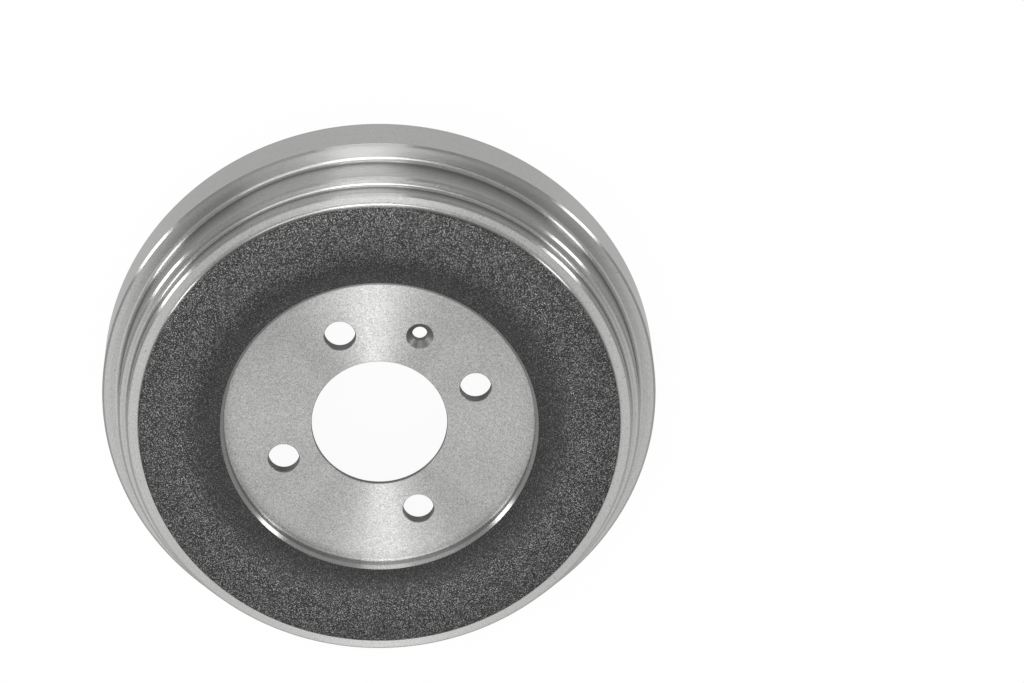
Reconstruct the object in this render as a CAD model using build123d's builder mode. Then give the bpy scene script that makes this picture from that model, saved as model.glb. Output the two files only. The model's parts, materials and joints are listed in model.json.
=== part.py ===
"""Rear brake drum: one iron casting, turned outside, faced on its wheel seat and bored for the shoes.

Sizes are in millimetres and angles in degrees. The origin is the centre of the stud circle, on the wheel
face. +Z runs along the drum's axis, out towards the road wheel, so what lies below the wheel face has a
negative height. The drum stands on its open rim. Half of its section is drawn once and revolved about Z,
and then the hub plate is drilled.
"""

from build123d import *

import os

# --- bored inside ---
friction_radius = 115.0      # the track that the shoes rub on
drum_depth = 52.0            # wheel face to open rim
track_length = 44.0          # open rim to the end of the bored track
track_step = 2.2             # the raw wall stands this far inside the bored track
mouth_chamfer = 2.0          # leads the shoes in

# --- hub plate ---
plate_thickness = 6.2        # wheel face to hub seat
wheel_face_radius = 75.2     # the wheel face is sunk into the raw web up to here
hub_seat_radius = 71.0       # faced pad that sits on the hub's flange
hub_seat_rise = 1.0          # the pad stands this proud of the raw underside
pilot_radius = 32.7          # centres the drum on the hub
pilot_land = 2.2             # length of the pilot bore's straight wall
pilot_flare = 2.4            # the bore opens by this much towards the hub
pilot_edge_chamfer = 0.25

# --- raw cast web around the wheel face ---
lip_height = 5.8             # the web's inner edge, over the wheel face
lip_chamfer = 1.5
valley_offset = 3.3          # from the lip out to the shallow valley behind it
valley_drop = 0.2            # from the lip down to the valley
crest_inset = 16.3           # from the shoulder in to the web's highest circle
crest_rise = 2.8             # from the lip up to the crest
web_thickness = 8.0          # under the crest
inner_taper = 5.5            # the raw wall leans in by this much, from the track up to the web
inner_corner_radius = 7.0    # raw corner between that wall and the web

# --- turned steps, each a wall of its own thickness outside the friction track ---
shoulder_wall = 0.8
shoulder_rise = 1.0          # from the lip up to the shoulder's edge
shoulder_chamfer = 0.7
small_step_wall = 6.95
small_step_height = 2.3      # over the wheel face
middle_step_wall = 11.5
middle_step_length = 20.5    # from the flange's top face up to the middle step's
flange_wall = 19.8
flange_length = 24.6         # from the open rim up to the flange's top face
step_chamfer_width = 1.4
step_chamfer_drop = 0.6

# --- groove in the open rim, where the backing plate's edge runs ---
groove_wall = 7.6            # between the friction track and the groove
groove_width = 6.0
groove_depth = 6.0
rim_chamfer = 0.8

# --- holes ---
stud_circle_radius = 50.0
stud_count = 4
stud_hole_radius = 7.5
stud_hole_chamfer = 0.3
first_stud_angle = 18.3      # from +X
screw_hole_radius = 3.65     # for the screw that holds the drum on its hub
screw_sink_radius = 6.57
screw_sink_angle = 90.0

# --- worked out: heights, then radii ---
rim_height = -drum_depth
track_end_height = rim_height + track_length
hub_seat_height = -plate_thickness
underside_height = hub_seat_height + hub_seat_rise
valley_height = lip_height - valley_drop
crest_height = lip_height + crest_rise
under_crest_height = crest_height - web_thickness
shoulder_height = lip_height + shoulder_rise
flange_height = rim_height + flange_length
middle_step_height = flange_height + middle_step_length
groove_height = rim_height + groove_depth

lip_radius = wheel_face_radius + lip_chamfer
valley_radius = lip_radius + valley_offset
shoulder_radius = friction_radius + shoulder_wall
crest_radius = shoulder_radius - crest_inset
small_step_radius = friction_radius + small_step_wall
middle_step_radius = friction_radius + middle_step_wall
flange_radius = friction_radius + flange_wall
inner_wall_radius = friction_radius - track_step
inner_corner_reach = inner_wall_radius - inner_taper
underside_radius = hub_seat_radius + hub_seat_rise
groove_inner_radius = friction_radius + groove_wall
groove_outer_radius = groove_inner_radius + groove_width
screw_angle = first_stud_angle + 180 / stud_count

# The raw underside is a cone from the hub seat's edge, through the point below the crest, to the corner.
underside_slope = (under_crest_height - underside_height) / (crest_radius - underside_radius)
inner_corner_height = underside_height + underside_slope * (inner_corner_reach - underside_radius)

# --- section points that more than one line or corner uses: (radius, height) ---
pilot_land_end = (pilot_radius, -pilot_land)
pilot_mouth = (pilot_radius, 0)
lip = (lip_radius, lip_height)
shoulder_edge = (shoulder_radius - shoulder_chamfer, shoulder_height)
flange_rim = (flange_radius, rim_height)
track_mouth = (friction_radius, rim_height)
inner_corner = (inner_corner_reach, inner_corner_height)


def step_edge(radius, height):
    """The chamfered outer edge of a turned step: a point on its top face, then one on its wall."""
    return (radius - step_chamfer_width, height), (radius, height - step_chamfer_drop)


def corner_at(sketch, point):
    """The sketch's corner at the given point."""
    return sketch.vertices().sort_by_distance(point)[0]


with BuildPart() as brake_drum:
    with BuildSketch(Plane.XZ) as section:
        with BuildLine():
            # Wheel face, then up the wall of its recess and over the lip.
            Polyline(
                pilot_land_end,
                pilot_mouth,
                (wheel_face_radius, 0),
                (wheel_face_radius, lip_height - lip_chamfer),
                lip,
            )
            # Raw cast web, level in its valley and on its crest.
            Spline(
                lip,
                (valley_radius, valley_height),
                (crest_radius, crest_height),
                shoulder_edge,
                tangents=[(1, -0.1), (1, 0), (1, 0), (1, -0.25)],
            )
            # Turned outside, in steps down to the open rim.
            Polyline(
                shoulder_edge,
                (shoulder_radius, shoulder_height - shoulder_chamfer),
                (shoulder_radius, small_step_height),
                *step_edge(small_step_radius, small_step_height),
                (small_step_radius, middle_step_height),
                *step_edge(middle_step_radius, middle_step_height),
                (middle_step_radius, flange_height),
                *step_edge(flange_radius, flange_height),
                flange_rim,
            )
            # Across the open rim and round its groove.
            Polyline(
                flange_rim,
                (groove_outer_radius, rim_height),
                (groove_outer_radius, groove_height),
                (groove_inner_radius, groove_height),
                (groove_inner_radius, rim_height),
                track_mouth,
            )
            # Up the bored track, then the raw wall and underside, and back across the hub seat.
            Polyline(
                track_mouth,
                (friction_radius, track_end_height),
                (inner_wall_radius, track_end_height),
                inner_corner,
                (underside_radius, underside_height),
                (hub_seat_radius, hub_seat_height),
                (pilot_radius + pilot_flare, hub_seat_height),
                pilot_land_end,
            )
        make_face()
        fillet(corner_at(section, inner_corner), inner_corner_radius)
        chamfer(corner_at(section, flange_rim), rim_chamfer)
        chamfer(corner_at(section, track_mouth), mouth_chamfer)
        chamfer(corner_at(section, pilot_mouth), pilot_edge_chamfer)
    revolve(axis=Axis.Z)

    # Stud holes, with both of their edges broken.
    with PolarLocations(stud_circle_radius, stud_count, start_angle=first_stud_angle):
        Hole(stud_hole_radius)
    stud_hole_walls = brake_drum.faces(Select.LAST).filter_by(GeomType.CYLINDER)
    chamfer(stud_hole_walls.edges().filter_by(GeomType.CIRCLE), stud_hole_chamfer)

    # Countersunk hole for the retaining screw, midway between two stud holes.
    with PolarLocations(stud_circle_radius, 1, start_angle=screw_angle):
        CounterSinkHole(screw_hole_radius, screw_sink_radius, counter_sink_angle=screw_sink_angle)

brake_drum.part.label = "brake_drum"
os.makedirs("parts", exist_ok=True)
export_step(brake_drum.part, "parts/brake_drum.step")
print("brake_drum", round(brake_drum.part.volume / 1000, 1), "cm3", brake_drum.part.bounding_box())
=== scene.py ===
# %% [markdown]
# # A brake drum, turned and bored from one iron casting
#
# A brake drum is a heavy iron pan that turns with the wheel. It is cast in sand, and then a lathe
# faces the seat for the wheel, turns the outside in steps and bores the inside for the shoes. What
# the lathe never touches stays dark and rough. So the whole look comes from two things: one clean
# section, spun round an axis, and the contrast between cut metal and raw metal.
#
# The sizes come first. The packed model gives the outer ones, and its record gives the holes.

import json
import math

import bmesh
import bpy
import numpy as np
from mathutils import Matrix, Vector


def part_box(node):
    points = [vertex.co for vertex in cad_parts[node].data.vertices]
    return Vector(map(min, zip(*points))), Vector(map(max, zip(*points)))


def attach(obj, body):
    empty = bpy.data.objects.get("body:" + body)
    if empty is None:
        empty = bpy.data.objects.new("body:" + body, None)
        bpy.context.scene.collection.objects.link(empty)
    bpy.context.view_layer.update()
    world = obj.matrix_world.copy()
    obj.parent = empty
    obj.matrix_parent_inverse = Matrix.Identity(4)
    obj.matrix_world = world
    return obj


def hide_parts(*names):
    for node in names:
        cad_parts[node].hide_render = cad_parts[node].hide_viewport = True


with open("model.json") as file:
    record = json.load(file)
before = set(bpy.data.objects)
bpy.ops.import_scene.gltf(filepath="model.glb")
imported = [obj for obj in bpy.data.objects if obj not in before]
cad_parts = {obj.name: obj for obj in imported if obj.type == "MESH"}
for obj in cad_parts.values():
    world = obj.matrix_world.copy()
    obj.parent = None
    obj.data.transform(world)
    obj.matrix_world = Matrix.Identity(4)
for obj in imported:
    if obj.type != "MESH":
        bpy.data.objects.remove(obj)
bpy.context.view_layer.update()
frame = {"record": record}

MM = 0.001
DRUM = "brake_drum"
low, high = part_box(DRUM)
mounts = {mount["name"]: mount for mount in frame["record"]["mounts"]}


def mount_size(name, dimension):
    """A size of one of the record's mounts, in metres."""
    return mounts[name]["dims"][dimension] * MM


# The raw web's crest lies just under the model's top, which leaves its swells a little room.
swell_room = 0.02 * MM
crest_height = high.z - swell_room
flange_radius = high.x
rim_height = low.z
stud_circle_radius = mount_size("wheel_studs", "pcd_mm") / 2
stud_count = mounts["wheel_studs"]["dims"]["count"]
stud_hole_radius = mount_size("wheel_studs", "hole_r_mm")
pilot_radius = mount_size("pilot_bore", "r_mm")
screw_hole_radius = mount_size("screw_hole", "r_mm")
friction_radius = mount_size("friction_track", "r_mm")
hub_seat_height = mounts["hub_seat"]["pos_m"][2]
screw_x, screw_y, _ = mounts["screw_hole"]["pos_m"]
screw_angle = math.atan2(screw_y, screw_x)
first_stud_angle = screw_angle - math.pi / stud_count
print(f"flange {2 * flange_radius / MM:.1f} mm across, {(high.z - low.z) / MM:.1f} mm high")

# %% [markdown]
# ## The section
#
# Everything but the holes is round about the axis, so one half of the drum's section holds its whole
# shape. A lathe never leaves a perfect corner: an outside edge is chamfered or broken, and an inside
# corner keeps the radius of the tool's nose. So the section is a list of corners, and each corner
# says how round it is. Metal shows such a radius as a thin line of light, which is why it is worth
# having in the mesh.
#
# Heights are counted from the wheel face, and radii from the axis. The outside comes first: the lip
# of the wheel face, the valley and the crest of the raw web, the shoulder, two steps and the flange.

# %% Name the finishes, and the sizes of the outside
FACED, TURNED, CAST, BORED, DRILLED = range(5)

wheel_face_radius = 75.2 * MM
lip_radius = wheel_face_radius + 1.5 * MM
lip_height = 5.8 * MM
lip_chamfer = 1.5 * MM
valley_radius = 80.5 * MM
valley_height = 5.6 * MM
crest_radius = 101.5 * MM
shoulder_radius = friction_radius + 1.0 * MM
shoulder_height = 6.8 * MM
small_step_radius = friction_radius + 6.95 * MM
small_step_height = 3.9 * MM
middle_step_radius = friction_radius + 11.3 * MM
flange_height = rim_height + 25.9 * MM
middle_step_height = flange_height + 20.1 * MM
print(f"steps at {small_step_radius / MM:.1f} and {middle_step_radius / MM:.1f} mm radius")

# %% Name the sizes of the outside's edges and corners
edge_chamfer = 1.05 * MM
edge_break = 0.12 * MM
rim_chamfer = 0.8 * MM
undercut = 0.3 * MM
tool_nose = 1.6 * MM
flange_nose = 2.3 * MM
lip_nose = 1.3 * MM
groove_nose = 1.0 * MM

# The raw web ends short of the shoulder's wall, a rounded edge joins the two, and the wall leans in.
shoulder_edge = 0.6 * MM
shoulder_drop = 0.5 * MM
shoulder_round = 0.4 * MM
shoulder_lean = 0.45 * MM
shoulder_nose = 1.2 * MM
print(f"edges chamfered by {edge_chamfer / MM:.2f} mm or broken by {edge_break / MM:.2f} mm")

# %% [markdown]
# ## The inside
#
# The shoes press on a bored track, and past it the wall stays as it was cast, with a taper that let
# it leave the sand. A groove in the open rim clears the lip of the backing plate. The hub bolts up
# against a faced seat, and from there the underside climbs to the wall in a straight line, so the
# line's slope follows from the thickness of the web at its crest.

# %% Name the sizes of the inside
groove_inner_radius = friction_radius + 7.6 * MM
groove_outer_radius = groove_inner_radius + 6.0 * MM
groove_height = rim_height + 6.0 * MM
mouth_chamfer = 2.0 * MM
track_end_height = rim_height + 44.0 * MM
inner_wall_radius = friction_radius - 2.2 * MM
inner_taper = 5.5 * MM
inner_corner_round = 7.0 * MM
web_thickness = 8.0 * MM
hub_seat_radius = 71.0 * MM
hub_seat_rise = 1.0 * MM

underside_radius = hub_seat_radius + hub_seat_rise
underside_height = hub_seat_height + hub_seat_rise
underside_rise = crest_height - web_thickness - underside_height
underside_slope = underside_rise / (crest_radius - underside_radius)
inner_corner_radius = inner_wall_radius - inner_taper
inner_corner_height = underside_height + underside_slope * (inner_corner_radius - underside_radius)
print(f"the underside climbs {math.degrees(math.atan(underside_slope)):.0f} degrees towards the wall")


# %% Give the raw web its curve
def web_height(radius):
    """The web's height at a radius, from three stretches that meet level.

    From the lip it falls by the square of the way left to the valley. With t as the share of the way
    from the valley to the crest, it then rises by 1 - (1 - t)^3 (1 + 3 t), steepest at a third of the
    way. Past the crest it falls by the power 1.6 of the way gone to the shoulder.
    """
    to_valley = np.clip((valley_radius - radius) / (valley_radius - lip_radius), 0, 1)
    to_crest = np.clip((radius - valley_radius) / (crest_radius - valley_radius), 0, 1)
    past_crest = np.clip((radius - crest_radius) / (shoulder_radius - crest_radius), 0, 1)
    rise = 1 - (1 - to_crest) ** 3 * (1 + 3 * to_crest)
    return (
        valley_height
        + (lip_height - valley_height) * to_valley**2
        + (crest_height - valley_height) * rise
        - (crest_height - shoulder_height) * past_crest**1.6
    )


WEB_POINTS = 34
web_radii = np.linspace(lip_radius, shoulder_radius - shoulder_edge, WEB_POINTS)[1:]
web_end_height = web_height(web_radii[-1])
print(f"the web stands {web_height(crest_radius) / MM:.2f} mm over the wheel face at its crest")


# %% List the corners of the section, from the wheel face out and down, and back inside
def step(radius, height, foot, nose):
    """Corners of one turned step: across its chamfered edge, down its wall, and the corner at its foot.

    The wall leans in a little towards its foot, where the tool cut under it.
    """
    return [
        (radius - edge_chamfer, height, 0, TURNED),
        (radius, height - edge_chamfer, 0, TURNED),
        (radius - undercut, foot, nose, TURNED),
    ]


# Each corner is a radius, a height, how round it is, and the finish of the run that leaves it. The
# spun surface takes only the last stretch of each flat ring, because the rest of the ring has holes.
face_edge = 4 * MM
section_corners = [
    (wheel_face_radius - face_edge, 0, 0, FACED),
    (wheel_face_radius, 0, lip_nose, TURNED),
    (wheel_face_radius, lip_height - lip_chamfer, edge_break, TURNED),
    (lip_radius, lip_height, 0, CAST),
    *((radius, web_height(radius), 0, CAST) for radius in web_radii),
    (shoulder_radius, web_end_height - shoulder_drop, shoulder_round, TURNED),
    (shoulder_radius - shoulder_lean, small_step_height, shoulder_nose, TURNED),
    *step(small_step_radius, small_step_height, middle_step_height, tool_nose),
    *step(middle_step_radius, middle_step_height, flange_height, flange_nose),
    *step(flange_radius, flange_height, rim_height, 0)[:2],
    (flange_radius, rim_height + rim_chamfer, edge_break, TURNED),
    (flange_radius - rim_chamfer, rim_height, edge_break, TURNED),
    (groove_outer_radius, rim_height, edge_break, TURNED),
    (groove_outer_radius, groove_height, groove_nose, TURNED),
    (groove_inner_radius, groove_height, groove_nose, TURNED),
    (groove_inner_radius, rim_height, edge_break, TURNED),
    (friction_radius + mouth_chamfer, rim_height, edge_break, BORED),
    (friction_radius, rim_height + mouth_chamfer, edge_break, BORED),
    (friction_radius, track_end_height, 0, TURNED),
    (inner_wall_radius, track_end_height, 0, CAST),
    (inner_corner_radius, inner_corner_height, inner_corner_round, CAST),
    (underside_radius, underside_height, 0, CAST),
    (hub_seat_radius, hub_seat_height, edge_break, FACED),
    (hub_seat_radius - face_edge, hub_seat_height, 0, FACED),
]
print(len(section_corners), "corners")

# %% [markdown]
# One function turns the corners into points. At a round corner it steps along an arc, and it keeps a
# guard point on the straight just before and after, so that smooth shading bends only over the arc
# and the flats stay flat. Where the straight is short, the guard points would crowd it and are left
# out.

# %% Round the corners
ARC_STEP = math.radians(10)
TINY_ARC_STEP = math.radians(40)
tiny_round = 4 * edge_break


def round_off(corners, guard=0.15 * MM):
    """Points of a path whose corners are rounded, and the finish of each run between them.

    A corner with radius R that turns by an angle is cut R times the tangent of half that angle before
    and after it, and an arc with radius R joins the cuts. The runs up to the middle of the arc keep
    the finish of the run before the corner.
    """
    points = [np.array(corners[0][:2])]
    finishes = []
    for before, corner, after in zip(corners, corners[1:], corners[2:]):
        spot = np.array(corner[:2])
        inward = spot - before[:2]
        onward = np.array(after[:2]) - spot
        inward_length, onward_length = np.hypot(*inward), np.hypot(*onward)
        inward /= inward_length
        onward /= onward_length
        radius = corner[2]
        turn = math.atan2(inward[0] * onward[1] - inward[1] * onward[0], inward @ onward)
        if radius == 0:
            arc = spot[None]
        else:
            cut = radius * math.tan(abs(turn) / 2)
            side = math.copysign(1, turn) * np.array([-inward[1], inward[0]])
            arc_step = ARC_STEP if radius > tiny_round else TINY_ARC_STEP
            angles = np.linspace(0, abs(turn), max(2, round(abs(turn) / arc_step)) + 1)[:, None]
            start = spot - inward * cut
            arc = start + radius * (np.sin(angles) * inward + (1 - np.cos(angles)) * side)
            if inward_length - cut > 3 * guard:
                arc = np.vstack([start - inward * guard, arc])
            if onward_length - cut > 3 * guard:
                arc = np.vstack([arc, spot + onward * (cut + guard)])
        middle = len(arc) // 2
        finishes += [before[3]] * (middle + 1) + [corner[3]] * (len(arc) - 1 - middle)
        points += list(arc)
    points.append(np.array(corners[-1][:2]))
    finishes.append(corners[-2][3])
    return np.array(points), np.array(finishes)


section, section_finish = round_off(section_corners)
print(len(section), "points on the section")

# %% [markdown]
# ## From the section to a surface
#
# A surface of revolution needs no modelling: it is the section's radius times the cosine and sine of
# a turn. Numpy works out all its points as one table, with a row for each point of the section and a
# column for each step of the turn. The columns start at the first stud hole, so that every hole sits
# at the same place between columns.

# %% Spin a path about the axis
COLUMNS = 384


def column_angle(column):
    """The angle of a column, or of many: equal steps of the turn, counted from the first stud hole."""
    return first_stud_angle + column * 2 * math.pi / COLUMNS


def polar(radius, angle):
    """Flat points: each radius times the cosine and the sine of its angle."""
    return np.stack([radius * np.cos(angle), radius * np.sin(angle)], axis=-1)


def at_height(flat, height):
    """Flat points with a height as their third coordinate."""
    return np.concatenate([flat, np.full(flat.shape[:-1] + (1,), height)], axis=-1)


def spin(path):
    """Grid of points: each (radius, height) of the path, turned to every column's angle."""
    flat = polar(path[:, 0, None], column_angle(np.arange(COLUMNS)))
    return at_height(flat, path[:, 1, None, None])


print(COLUMNS, "columns,", 2 * len(section) * COLUMNS, "triangles in the spun surface")


# %% Number the faces of a grid
def grid_faces(rows, columns, closed=True):
    """Corner numbers of a grid's four-sided faces. A closed grid joins its last column to its first."""
    row = np.arange(rows - 1)[:, None]
    column = np.arange(columns if closed else columns - 1)
    following = (column + 1) % columns
    corners = [
        row * columns + column,
        (row + 1) * columns + column,
        (row + 1) * columns + following,
        row * columns + following,
    ]
    return np.stack(corners, axis=-1).reshape(-1, 4)


print("an open grid of 3 by 3 points has", len(grid_faces(3, 3, closed=False)), "faces")

# %% [markdown]
# Raw castings are never quite round or flat. The sand gives a little, and the web comes out with low
# swells that show as a faint unevenness in the light. A few dozen plane waves with random directions
# make such swells without a repeat, and the amount fades to nothing where the lathe has cut. Upwards
# they are cut off almost at once, so that the web stays inside the box of the packed model.


# %% Swell the raw web a little
def swell(x, y, waves=36, height=0.07 * MM, shortest=9 * MM, longest=30 * MM):
    """Sum of plane waves, each with its own direction, length and phase.

    A wave is the sine of its phase plus 2 pi times the way along its direction over its length. The
    sum is scaled by the square root of 2 over the number of waves, so that `height` is its usual size.
    """
    rng = np.random.default_rng(7)
    heading = rng.uniform(0, 2 * math.pi, waves)
    number = 2 * math.pi / rng.uniform(shortest, longest, waves)
    phase = rng.uniform(0, 2 * math.pi, waves)
    along = np.multiply.outer(x, np.cos(heading)) + np.multiply.outer(y, np.sin(heading))
    return height * np.sqrt(2 / waves) * np.sin(along * number + phase).sum(axis=-1)


# Only the rows of the raw web swell: those over its lowest point, between the lip and the shoulder.
swell_fade = 6 * MM
lowest_web = valley_height - 1 * MM

shell = spin(section)
row_radius, row_height = section.T
on_web = (row_height > lowest_web) & (row_radius > lip_radius) & (row_radius < shoulder_radius)
fade = np.clip(np.minimum(row_radius - lip_radius, shoulder_radius - row_radius) / swell_fade, 0, 1)
swells = np.minimum(swell(shell[..., 0], shell[..., 1]), swell_room)
shell[..., 2] += swells * (on_web * fade)[:, None]
print(f"highest point {shell[..., 2].max() / MM:.2f} mm, box top {high.z / MM:.2f} mm")

# %% [markdown]
# ## The drilled hub plate
#
# The wheel face and the hub seat are flat rings with holes, and a spun section can't have those. A
# Boolean modifier would cut them, but it leaves long thin faces. Instead each ring is cut like a cake.
# A plain slice is a grid. A slice with a hole is a fan of rings that start as the hole's circle and
# end as the slice's border, so the grid flows round the hole and still meets its neighbours point for
# point.

# %% Find the holes
stud_columns = [COLUMNS * hole // stud_count for hole in range(stud_count)]
screw_column = COLUMNS // (2 * stud_count)


def hole_centre(column):
    """The centre of a hole: the point of the stud circle at its column's angle."""
    angle = column_angle(column)
    return stud_circle_radius * np.array([math.cos(angle), math.sin(angle)])


def circle_towards(border, centre, radius):
    """A circle with one point for each point of a border, in that point's direction.

    It is the centre, plus the radius times the way to the border's point over the length of that way.
    """
    away = border - centre
    return centre + radius * away / np.linalg.norm(away, axis=-1, keepdims=True)


print("stud holes at columns", stud_columns, "and the screw hole at column", screw_column)

# %% Cut a flat ring into slices, with and without holes
HALF_SLICE = 20
RING_STEPS = 14
HOLE_RINGS = 7


def slice_border(inner, outer, first, last):
    """The border of a slice between two columns, without repeating its four corners.

    It runs out along the first edge, along the outer circle, back in and along the inner circle.
    """
    along = np.linspace(inner, outer, RING_STEPS + 1)
    angles = column_angle(np.arange(first, last + 1))
    still = np.ones(len(angles) - 1)
    straight = np.ones(RING_STEPS)
    radius = np.concatenate([along[:-1], outer * still, along[:0:-1], inner * still])
    angle = np.concatenate([angles[0] * straight, angles[:-1], angles[-1] * straight, angles[:0:-1]])
    return polar(radius, angle)


def holed_slice(inner, outer, height, column, hole_radius):
    """Rings from a hole's circle to its slice's border: circle + share times (border - circle).

    The shares are even steps from 0 to 1, raised to the power 1.4 so that the rings crowd the hole.
    """
    border = slice_border(inner, outer, column - HALF_SLICE, column + HALF_SLICE)
    circle = circle_towards(border, hole_centre(column), hole_radius)
    share = np.linspace(0, 1, HOLE_RINGS)[:, None, None] ** 1.4
    return at_height(circle + share * (border - circle), height)


def plain_slice(inner, outer, height, first, last):
    """A grid between two columns and two circles."""
    radius = np.linspace(inner, outer, RING_STEPS + 1)[:, None]
    return at_height(polar(radius, column_angle(np.arange(first, last + 1))), height)


print("a slice with a hole spans", 2 * HALF_SLICE, "of the", COLUMNS, "columns")

# %% Name the sizes of the holes' edges
pilot_edge = 0.25 * MM
pilot_land = 2.2 * MM
pilot_flare = 2.4 * MM
stud_edge = 0.3 * MM
screw_sink_radius = 6.57 * MM
sink_depth = screw_sink_radius - screw_hole_radius
sink_guard = 0.5 * MM
print(f"the screw hole is sunk {sink_depth / MM:.2f} mm deep")


# %% Make both flat rings
def drilled_ring(inner, outer, height, stud_circle, screw_circle):
    """Grids that cover a flat ring: a holed slice at each hole and plain slices between them."""
    hole_at = {column: stud_circle for column in stud_columns}
    hole_at[screw_column] = screw_circle
    columns = sorted(hole_at)
    holed = {column: holed_slice(inner, outer, height, column, hole_at[column]) for column in columns}
    plain = [
        plain_slice(inner, outer, height, column + HALF_SLICE, following - HALF_SLICE)
        for column, following in zip(columns, columns[1:] + [columns[0] + COLUMNS])
    ]
    return holed, plain


face_holed, face_plain = drilled_ring(
    pilot_radius + pilot_edge, wheel_face_radius - face_edge, 0,
    stud_hole_radius + stud_edge, screw_sink_radius,
)
seat_holed, seat_plain = drilled_ring(
    pilot_radius + pilot_flare, hub_seat_radius - face_edge, hub_seat_height,
    stud_hole_radius + stud_edge, screw_hole_radius,
)
print(len(face_holed), "holed slices and", len(face_plain), "plain ones in each ring")


# %% Wall each hole
def hole_wall(face_rings, seat_rings, column, steps):
    """Rings down a hole, from its circle in the wheel face to its circle in the hub seat.

    Each step is a radius and a height. The steps of the upper half keep the spacing of the wheel
    face's circle and the others that of the hub seat's, so that the ends meet both rings exactly.
    """
    rings = []
    for number, (radius, height) in enumerate(steps):
        source = face_rings if number < len(steps) / 2 else seat_rings
        circle = circle_towards(source[0, :, :2], hole_centre(column), radius)
        rings.append(at_height(circle, height))
    return np.stack(rings)


stud_steps = [
    (stud_hole_radius + stud_edge, 0),
    (stud_hole_radius, -stud_edge),
    (stud_hole_radius, hub_seat_height + stud_edge),
    (stud_hole_radius + stud_edge, hub_seat_height),
]
screw_steps = [
    (screw_sink_radius, 0),
    (screw_hole_radius, -sink_depth),
    (screw_hole_radius, -sink_depth - sink_guard),
    (screw_hole_radius, hub_seat_height),
]
walls = {
    column: hole_wall(face_holed[column], seat_holed[column], column,
                      screw_steps if column == screw_column else stud_steps)
    for column in face_holed
}
print(len(walls), "hole walls")

# %% Bore the middle for the hub's pilot
pilot_path, pilot_finish = round_off([
    (pilot_radius + pilot_flare, hub_seat_height, 0, DRILLED),
    (pilot_radius, -pilot_land, edge_break, DRILLED),
    (pilot_radius, -pilot_edge, 0, DRILLED),
    (pilot_radius + pilot_edge, 0, 0, FACED),
])
print(len(pilot_path), "points on the pilot bore's path")

# %% [markdown]
# ## Joining the pieces
#
# The shell, the two rings, the walls of the holes and the pilot bore were made apart, but their edges
# share points. Numpy finds the equal points, numbers each once, and the result is one closed mesh,
# which is what a slicer, a physics program or a path tracer wants.

# %% Gather every grid, with whether it closes on itself and the finish of its faces
parts = [(shell, True, np.repeat(section_finish, COLUMNS))]
parts.append((spin(pilot_path), True, np.repeat(pilot_finish, COLUMNS)))
parts += [(grid, True, FACED) for grid in (*face_holed.values(), *seat_holed.values())]
parts += [(grid, False, FACED) for grid in (*face_plain, *seat_plain)]
parts += [(wall, True, DRILLED) for wall in walls.values()]
print(len(parts), "grids")


# %% Weld equal points and build the mesh
def weld(parts, distance=0.1e-6):
    """Points, faces and finishes of one mesh. Points that agree to a tenth of a micron become one."""
    points, faces, finishes = [], [], []
    count = 0
    for grid, closed, finish in parts:
        rows, columns = grid.shape[:2]
        grid_face = grid_faces(rows, columns, closed) + count
        points.append(grid.reshape(-1, 3))
        faces.append(grid_face)
        finishes.append(np.broadcast_to(finish, len(grid_face)))
        count += rows * columns
    points, faces = np.concatenate(points), np.concatenate(faces)
    rounded = np.round(points / distance).astype(np.int64)
    _, first, number = np.unique(rounded, axis=0, return_index=True, return_inverse=True)
    return points[first], number.reshape(-1)[faces], np.concatenate(finishes)


points, faces, face_finishes = weld(parts)
mesh = bpy.data.meshes.new("drum_surface")
mesh.from_pydata(points, [], faces)
mesh.validate()
mesh.polygons.foreach_set("material_index", face_finishes)
drum = bpy.data.objects.new("drum_surface", mesh)
bpy.context.scene.collection.objects.link(drum)
print(len(mesh.vertices), "points and", len(mesh.polygons), "faces")

# %% [markdown]
# Each grid was numbered in its own direction, so some faces look inwards. BMesh is Blender's library
# for work on a mesh's neighbourhoods: it turns all faces outwards, and counting the edges that don't
# join two faces shows whether the surface is closed. Smooth shading then rounds what is meant to be
# round, and edges that bend sharply are marked so that they stay crisp.

# %% Turn all faces outwards and check that the surface is closed
sharp_angle = math.radians(24)

work = bmesh.new()
work.from_mesh(mesh)
bmesh.ops.recalc_face_normals(work, faces=work.faces)
open_edges = sum(1 for edge in work.edges if len(edge.link_faces) != 2)
print("open edges:", open_edges, " volume:", round(work.calc_volume() * 1e6, 1), "cm3")
work.to_mesh(mesh)
work.free()
mesh.shade_smooth()
mesh.set_sharp_from_angle(angle=sharp_angle)

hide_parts(DRUM)
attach(drum, "root")

# %% [markdown]
# ## Writing shader maths as Python
#
# A procedural finish is a small formula, and in the node editor a formula becomes a maze of Math
# nodes. So one class wraps a socket and overloads the arithmetic operators: writing `1 - mask * 0.3`
# adds the nodes and links that say the same. Its `add` method makes any other node: it is given the
# node's type, then its settings, then the values or links of its inputs.


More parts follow.
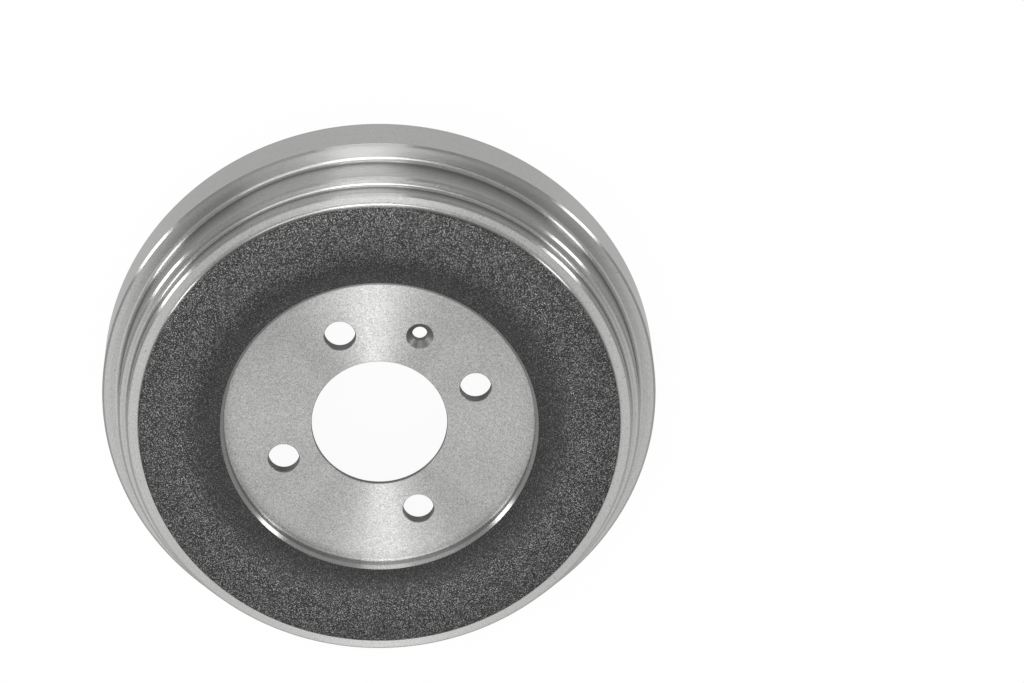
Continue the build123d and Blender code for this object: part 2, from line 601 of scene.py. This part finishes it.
# %% Wrap a socket
class Wire:
    """An output of a node that can be used in arithmetic. Each operator adds one Math node."""

    def __init__(self, tree, socket=None):
        self.tree = tree
        self.socket = socket

    def add(self, kind, settings=None, inputs=None, output=0):
        """Add a node of a kind, set it up, feed its inputs and return one of its outputs."""
        node = self.tree.nodes.new(kind)
        for name, value in (settings or {}).items():
            setattr(node, name, value)
        for name, value in (inputs or {}).items():
            if isinstance(value, Wire):
                self.tree.links.new(value.socket, node.inputs[name])
            else:
                node.inputs[name].default_value = value
        return Wire(self.tree, node.outputs[output])

    def beside(self, output):
        """Another output of the node that this wire comes from."""
        return Wire(self.tree, self.socket.node.outputs[output])

    def math(self, operation, *values):
        """A Math node on some values, in the order that they are given."""
        return self.add("ShaderNodeMath", {"operation": operation}, dict(enumerate(values)))

    def __add__(self, other):
        return self.math("ADD", self, other)

    def __radd__(self, other):
        return self.math("ADD", other, self)

    def __sub__(self, other):
        return self.math("SUBTRACT", self, other)

    def __rsub__(self, other):
        return self.math("SUBTRACT", other, self)

    def __mul__(self, other):
        return self.math("MULTIPLY", self, other)

    def __rmul__(self, other):
        return self.math("MULTIPLY", other, self)

    def __pow__(self, other):
        return self.math("POWER", self, other)

    def between(self, start, end):
        """0 below start, 1 above end, and a smooth ramp between them."""
        return self.add(
            "ShaderNodeMapRange",
            {"interpolation_type": "SMOOTHSTEP"},
            {"Value": self, "From Min": start, "From Max": end},
        )


print("a wire's methods:", [name for name, value in vars(Wire).items() if callable(value)])


# %% Start a material, and feed its shader
def start_material(name):
    """A new material with its shader node and its Object coordinates."""
    material = bpy.data.materials.new(name)
    material.use_nodes = True
    tree = material.node_tree
    place = Wire(tree).add("ShaderNodeTexCoord", output="Object")
    return material, tree.nodes["Principled BSDF"], place


def feed(shader, **inputs):
    """Feed a shader's inputs by name, with _ for each space: a wire is linked, and a value is set."""
    for name, value in inputs.items():
        socket = shader.inputs[name.replace("_", " ")]
        if isinstance(value, Wire):
            value.tree.links.new(value.socket, socket)
        else:
            socket.default_value = value


print("helpers for every material:", start_material.__name__, feed.__name__)

# %% [markdown]
# ## Cut metal
#
# A turned surface is a spiral of very fine grooves. Light bounces off the sides of the grooves, so
# each highlight spreads across them: on a flat face it fans out from the axis like a bow tie, and on
# a wall it runs up and down. The shader's anisotropy does that. With no tangent given, Blender lays
# the grooves' direction round the Z axis of the object, which is just where a lathe lays them, and a
# quarter turn of the anisotropic rotation spreads the light across them.
#
# The shader brightens a metal to white towards a grazing view. On iron that rise comes late, so the
# specular tint, which scales the metal's colour close to grazing, is a light grey.


# %% Make the patterns: clouds, cells and rings
def noise(place, size, detail=2.0, roughness=0.5):
    """Noise whose lumps are about `size` across, in metres, from 0 to 1."""
    inputs = {"Vector": place, "Scale": 1 / size, "Detail": detail, "Roughness": roughness}
    return place.add("ShaderNodeTexNoise", {"noise_dimensions": "3D"}, inputs)


def speckle(place, size):
    """One random value from 0 to 1 for each cell of a Voronoi pattern with cells about `size` across."""
    inputs = {"Vector": place, "Scale": 1 / size}
    colours = place.add("ShaderNodeTexVoronoi", inputs=inputs, output="Color")
    return place.add("ShaderNodeSeparateColor", inputs={"Color": colours})


def turning_marks(place, spacing):
    """Noise that changes only with radius and height, so it draws rings, from 0 to 1."""
    x = place.add("ShaderNodeSeparateXYZ", inputs={"Vector": place}, output="X")
    y = x.beside("Y")
    radius = (x * x + y * y) ** 0.5
    ring_place = place.add("ShaderNodeCombineXYZ", inputs={"X": radius, "Y": x.beside("Z")})
    return noise(ring_place, spacing, detail=3.0, roughness=0.7)


print("patterns:", noise.__name__, speckle.__name__, turning_marks.__name__)


# %% Colour and bump a surface
def scaled(colour, shade):
    """A colour with each channel multiplied by a wire."""
    inputs = {"Vector": colour, "Scale": shade}
    return shade.add("ShaderNodeVectorMath", {"operation": "SCALE"}, inputs)


def bumped(height):
    """The surface's normal, bent by a wire of heights in metres."""
    return height.add("ShaderNodeBump", inputs={"Height": height, "Distance": 1.0, "Strength": 1.0})


QUARTER_TURN = 0.25
grazing_tint = (0.85, 0.85, 0.85, 1)
crystal_size = 0.35 * MM
grain_size = 0.9 * MM
pore_size = 1.1 * MM
print(f"crystals {crystal_size / MM:.2f} mm, grain {grain_size / MM:.1f}, pores {pore_size / MM:.1f}")


# %% Make the cut metals
def cut_metal(name, grey, roughness, anisotropy, mark_spacing, mark_depth, contrast):
    """Cut iron: rings from the tool, crystals, a fine grain, and pores where graphite has torn out.

    The grey is multiplied by 1, plus the crystals times the contrast, plus a little of the grain and a
    quarter of the rings, all taken about their middle. The pores, which are the tops of a noise, then
    take up to 35 % of it away. The rings give the bump its height, with 30 % of the grain on them.
    """
    material, shader, place = start_material(name)
    marks = turning_marks(place, mark_spacing)
    grain = noise(place, grain_size, detail=4.0, roughness=0.6)
    crystals = speckle(place, crystal_size)
    pores = noise(place, pore_size, detail=1.0).between(0.70, 0.78)
    tone = 1 + (crystals - 0.5) * contrast + (grain - 0.5) * 0.05 + (marks - 0.5) * 0.25
    feed(
        shader,
        Base_Color=scaled((grey, grey, grey * 0.985), tone * (1 - pores * 0.35)),
        Metallic=1.0,
        Roughness=roughness + (grain - 0.5) * 0.04,
        Anisotropic=anisotropy,
        Anisotropic_Rotation=QUARTER_TURN,
        Specular_Tint=grazing_tint,
        Normal=bumped(marks * mark_depth + grain * (mark_depth * 0.3)),
    )
    return material


turned = cut_metal("turned_iron", 0.39, 0.25, 0.91, 0.8 * MM, 0.0006 * MM, 0.2)
faced = cut_metal("faced_iron", 0.45, 0.43, 0.96, 0.4 * MM, 0.0012 * MM, 0.65)
bored = cut_metal("bored_iron", 0.39, 0.26, 0.7, 0.3 * MM, 0.002 * MM, 0.2)
drilled = cut_metal("drilled_iron", 0.26, 0.42, 0.3, 0.4 * MM, 0.004 * MM, 0.2)
print("cut metal:", turned.name, faced.name, bored.name, drilled.name)

# %% [markdown]
# ## Raw iron
#
# The web keeps the print of the sand mould: a dark skin of small grains, a few of them bright, partly
# by their own tone and partly as painted glints of facets that catch the light. Its valley by the lip
# is painted darker, as painted shade. It is still iron, so the shader stays metallic, but its skin is
# rough in every direction.
# A Voronoi pattern gives each grain one random number, which serves better than noise here: noise
# blurs into soft clouds, and grains have edges.


# %% Measure from the axis, and blend by it
def from_origin(place):
    """The distance from the origin. Near the origin's own height, it is the distance from the axis."""
    return place.add("ShaderNodeVectorMath", {"operation": "LENGTH"}, {"Vector": place}, output="Value")


def blend(share, start, end):
    """A value that goes from start to end as a wire goes from 0 to 1: start + share (end - start)."""
    return start + share * (end - start)


sand_grain = 0.27 * MM
mean_fleck = 0.11
fleck_strength = 4.2
lump_size = 1.2 * MM
lump_height = 0.013 * MM
patch_size = 9 * MM
# The painted shade in the valley fades out here, a little short of the crest.
painted_valley_shade_end = crest_radius - 4 * MM
print(f"painted_valley_shade fades between radius {valley_radius / MM:.1f} and {painted_valley_shade_end / MM:.1f} mm")


# %% Make the raw casting
def raw_iron(name):
    """A dark skin on which every grain of sand has left its own shade.

    Each cell's random number is raised to the eighth power, so that most grains are dark and a few
    are bright, and its average is taken off. The bright grains are partly the grains' own tone and
    partly painted glints. The skin's grey is multiplied by 1 plus that fleck times its contrast, which
    changes from patch to patch. In the valley by the lip both the grey and the contrast are lower:
    that is painted shade, for the sunken valley gets less light.
    """
    material, shader, place = start_material(name)
    # outward is 0 in the valley and 1 from near the crest on; the lower grey and fleck contrast that it
    # gives the valley are painted shade.
    outward = from_origin(place).between(valley_radius, painted_valley_shade_end)
    # Bright flecks: partly each grain's own tone, partly painted glints where facets would catch the
    # light.
    flecks = speckle(place, sand_grain) ** 8 - mean_fleck
    patches = noise(place, patch_size, detail=3.0) - 0.5
    contrast = blend(outward, 0.6, 1.3) + patches * 0.7
    shade = blend(outward, 0.052, 0.088) * (1 + flecks * contrast * fleck_strength)
    lumps = noise(place, lump_size, detail=3.0, roughness=0.7)
    feed(
        shader,
        Base_Color=scaled((0.99, 1.0, 0.99), shade),
        Metallic=1.0,
        Roughness=0.5,
        Normal=bumped(lumps * lump_height),
    )
    return material


cast = raw_iron("raw_cast_iron")
for material in (faced, turned, cast, bored, drilled):
    mesh.materials.append(material)
print([material.name for material in mesh.materials])

# %% [markdown]
# ## Camera
#
# The camera stands well back, as for a product on a table, so that the rings stay near to true
# ellipses. It looks down at the drum from some 25 degrees off the axis, and is rolled a little. Its
# lens follows from how many pixels a metre takes at the drum's origin, and its place from where in
# the picture that origin is seen.

# %% Place the camera
view_tilt = math.radians(25.12)
view_roll = math.radians(3.65)
view_distance = 2.352
picture_width, picture_height = 1024, 683
axis_x, axis_y = 379.45, 422.91
pixels_per_metre = 2073.1

tilt = np.array([
    [1, 0, 0],
    [0, math.cos(view_tilt), -math.sin(view_tilt)],
    [0, math.sin(view_tilt), math.cos(view_tilt)],
])
roll = np.array([
    [math.cos(view_roll), -math.sin(view_roll), 0],
    [math.sin(view_roll), math.cos(view_roll), 0],
    [0, 0, 1],
])
view_axes = roll @ tilt
origin_seen_at = np.array([
    (axis_x - picture_width / 2) / pixels_per_metre,
    -(axis_y - picture_height / 2) / pixels_per_metre,
    -view_distance,
])
camera_place = -view_axes.T @ origin_seen_at

camera_data = bpy.data.cameras.new("camera")
camera_data.sensor_width = 36
camera_data.lens = pixels_per_metre * view_distance / picture_width * camera_data.sensor_width
camera_data.clip_end = 50
camera = bpy.data.objects.new("camera", camera_data)
camera.matrix_world = Matrix.Translation(camera_place) @ Matrix(view_axes.T.tolist()).to_4x4()
bpy.context.scene.collection.objects.link(camera)
bpy.context.scene.camera = camera
print(f"lens {camera_data.lens:.0f} mm, camera at", np.round(camera_place, 3))

# %% [markdown]
# ## Light
#
# Metal looks like what it reflects, so the lamps are large softboxes and not points. The one
# overhead makes the bow tie on the flat faces. A tall strip at each side draws the thin bright lines
# on the chamfers and at the feet of the steps. The dim ceiling and panels fill the rest, so that no
# part of the metal mirrors an empty room.


# %% Light the drum
def softbox(name, azimuth, polar, width, length, brightness, distance=2.6):
    """A softbox aimed at the drum from a direction.

    The direction is its azimuth and its angle off the axis, and its width and length are the angles
    that it fills as seen from the drum, all in degrees. Brightness 1 is as bright as white paper, and
    a surface with area A that shines so bright gives a power of pi times A.
    """
    turn, tip = math.radians(azimuth), math.radians(polar)
    across = Vector((math.cos(turn), math.sin(turn), 0)) * math.sin(tip)
    place = distance * (across + Vector((0, 0, math.cos(tip))))
    light = bpy.data.lights.new(name, "AREA")
    light.shape = "RECTANGLE"
    light.size = 2 * distance * math.tan(math.radians(width) / 2)
    light.size_y = 2 * distance * math.tan(math.radians(length) / 2)
    light.energy = math.pi * light.size * light.size_y * brightness
    lamp = bpy.data.objects.new(name, light)
    lamp.location = place
    lamp.rotation_euler = (-place).to_track_quat("-Z", "Y").to_euler()
    lamp.visible_camera = False
    bpy.context.scene.collection.objects.link(lamp)


softbox("overhead", 92, 15, 12, 46, 4.5)
softbox("ceiling", 270, 5, 70, 70, 0.3)
softbox("overhead_fill", 120, 35, 22, 26, 2.0)
softbox("right_strip", 22, 76, 12, 34, 4.2)
softbox("left_strip", 160, 79, 12, 32, 4.8)
softbox("front_panel_left", 230, 42, 60, 40, 0.7)
softbox("front_panel_right", 305, 42, 60, 40, 0.4)
softbox("back_panel", 90, 68, 24, 16, 1.2)
softbox("back_strip", 88, 88, 22, 10, 3.0)

# %% [markdown]
# ## Floor and studio
#
# The floor and the background are white to the camera by way of Light Path, a node that knows what
# kind of ray is asking. So the paper looks white, and the lamps can stay at a level at which the
# metal keeps its own tone. A ray that the metal mirrors sees the white paper too, but not right under
# the drum, where the paper is in the dark. A twentieth of the paper stays plain, and keeps the shadow.

# %% Lay the floor
floor_reach = 6.0
floor_gap = 0.2 * MM

floor_corners = [(-1, -1), (1, -1), (1, 1), (-1, 1)]
floor_points = [(x * floor_reach, y * floor_reach, 0) for x, y in floor_corners]
floor_mesh = bpy.data.meshes.new("floor")
floor_mesh.from_pydata(floor_points, [], [(0, 1, 2, 3)])
floor = bpy.data.objects.new("floor", floor_mesh)
floor.location.z = rim_height - floor_gap
bpy.context.scene.collection.objects.link(floor)
print("floor at", round(floor.location.z / MM, 1), "mm")


# %% Make the floor white paper
dark_radius = 0.2 * friction_radius


def white_paper(name, glow_share=0.95):
    """Paper that is mixed with a white glow for the rays that should see it white.

    The glow's share is 0.95 for the camera's rays and for those that pass through something. For
    mirrored rays it rises from 0 at the middle of the drum to 0.95 at the flange.
    """
    material, shader, place = start_material(name)
    feed(shader, Base_Color=(0.9, 0.9, 0.9, 1), Roughness=0.9)
    beside_drum = from_origin(place).between(dark_radius, flange_radius)
    camera_ray = place.add("ShaderNodeLightPath", output="Is Camera Ray")
    mirrored = camera_ray.beside("Is Glossy Ray") * beside_drum
    seen = camera_ray + mirrored + camera_ray.beside("Is Transmission Ray")
    glow = place.add("ShaderNodeEmission", inputs={"Color": (1, 1, 1, 1), "Strength": 1.0})
    plain = Wire(place.tree, shader.outputs[0])
    mixed = place.add("ShaderNodeMixShader", inputs={0: seen * glow_share, 1: plain, 2: glow})
    feed(place.tree.nodes["Material Output"], Surface=mixed)
    return material


floor_mesh.materials.append(white_paper("white_paper"))
print("the floor is", floor_mesh.materials[0].name)

# %% Surround it with a white studio
room_light = 0.5

world = bpy.data.worlds.new("studio")
world.use_nodes = True
bpy.context.scene.world = world
camera_ray = Wire(world.node_tree).add("ShaderNodeLightPath", output="Is Camera Ray")
strength = blend(camera_ray, room_light, 1)
feed(world.node_tree.nodes["Background"], Color=(1, 1, 1, 1), Strength=strength)
print("the room shines at", room_light, "and the camera sees it at 1")

# %% [markdown]
# ## Finish
#
# The Standard view shows each colour as it is written, which suits a plain product picture.

# %% Set the view and finish
bpy.context.scene.view_settings.view_transform = "Standard"
bpy.context.view_layer.update()
